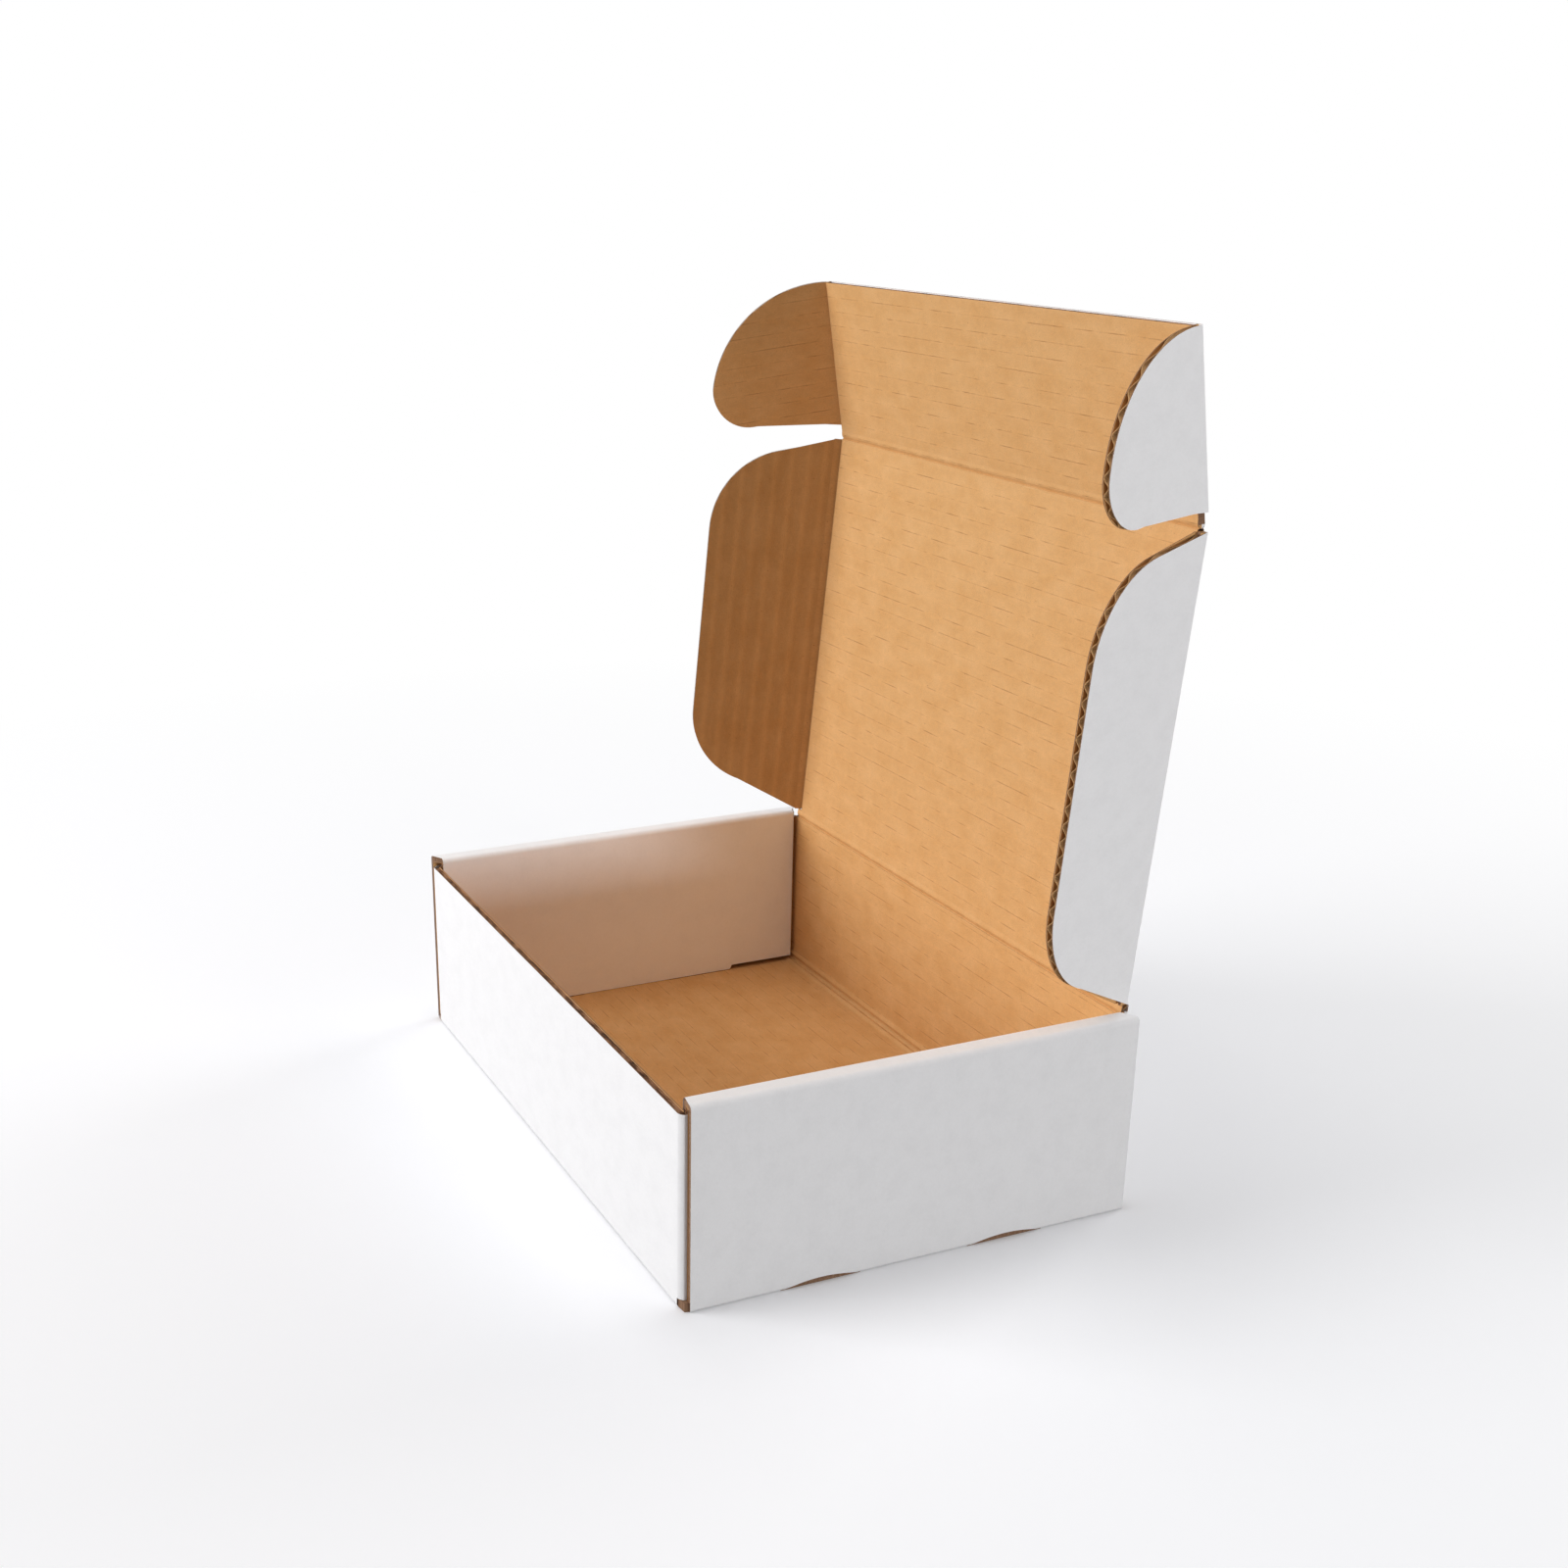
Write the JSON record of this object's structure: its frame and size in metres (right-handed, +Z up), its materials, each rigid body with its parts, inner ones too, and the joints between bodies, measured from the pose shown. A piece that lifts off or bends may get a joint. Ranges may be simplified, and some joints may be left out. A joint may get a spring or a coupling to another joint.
{
  "type": "corrugated mailer box",
  "caption": "Shallow corrugated mailer folded from one die-cut sheet, with rolled locking side walls and a hinged lid whose wings and tucking front flap fold in.",
  "frame": {"origin": "centre of the tray's underside", "axes": "+X to the right along the lid's hinge, +Y from the front wall to the hinge, +Z up"},
  "size_m": [0.3, 0.2012, 0.3233],
  "materials": {
    "white_liner_board": "matte",
    "kraft_liner_board": "matte"
  },
  "bodies": {
    "tray": {"tray": "white_liner_board"},
    "lid": {"lid_panel": "kraft_liner_board"},
    "wing_left": {"lid_wing_left": "kraft_liner_board"},
    "wing_right": {"lid_wing_right": "kraft_liner_board"},
    "tuck": {"tuck_flap": "kraft_liner_board"},
    "ear_left": {"tuck_ear_left": "kraft_liner_board"},
    "ear_right": {"tuck_ear_right": "kraft_liner_board"}
  },
  "joints": [
    {"name": "lid_hinge", "type": "hinge", "parent": "tray", "child": "lid", "pos_m": [0, 0.0911, 0.0786], "axis": [1, 0, 0], "range_deg": [-84.8, 95.2]},
    {"name": "wing_left_hinge", "type": "hinge", "parent": "lid", "child": "wing_left", "pos_m": [-0.1292, 0.0911, 0.0786], "axis": [0, 0.0906, 0.9959], "range_deg": [-47.96, 53.84]},
    {"name": "wing_right_hinge", "type": "hinge", "parent": "lid", "child": "wing_right", "pos_m": [0.1292, 0.0911, 0.0786], "axis": [0, -0.0906, -0.9959], "range_deg": [-47.96, 53.84]},
    {"name": "tuck_hinge", "type": "hinge", "parent": "lid", "child": "tuck", "pos_m": [0, 0.10733, 0.25696], "axis": [1, 0, 0], "range_deg": [-14.3, 75.7]},
    {"name": "ear_left_hinge", "type": "hinge", "parent": "tuck", "child": "ear_left", "pos_m": [-0.1292, 0.10733, 0.25696], "axis": [0, -0.1582, 0.9874], "range_deg": [-3.83, 20.05]},
    {"name": "ear_right_hinge", "type": "hinge", "parent": "tuck", "child": "ear_right", "pos_m": [0.1292, 0.10733, 0.25696], "axis": [0, 0.1582, -0.9874], "range_deg": [-3.83, 20.05]}
  ],
  "couplings": [
    {"joint": "wing_left_hinge", "follows": "lid_hinge", "ratio": 0.565},
    {"joint": "wing_right_hinge", "follows": "lid_hinge", "ratio": 0.565},
    {"joint": "ear_left_hinge", "follows": "tuck_hinge", "ratio": 0.2642},
    {"joint": "ear_right_hinge", "follows": "tuck_hinge", "ratio": 0.2642}
  ]
}
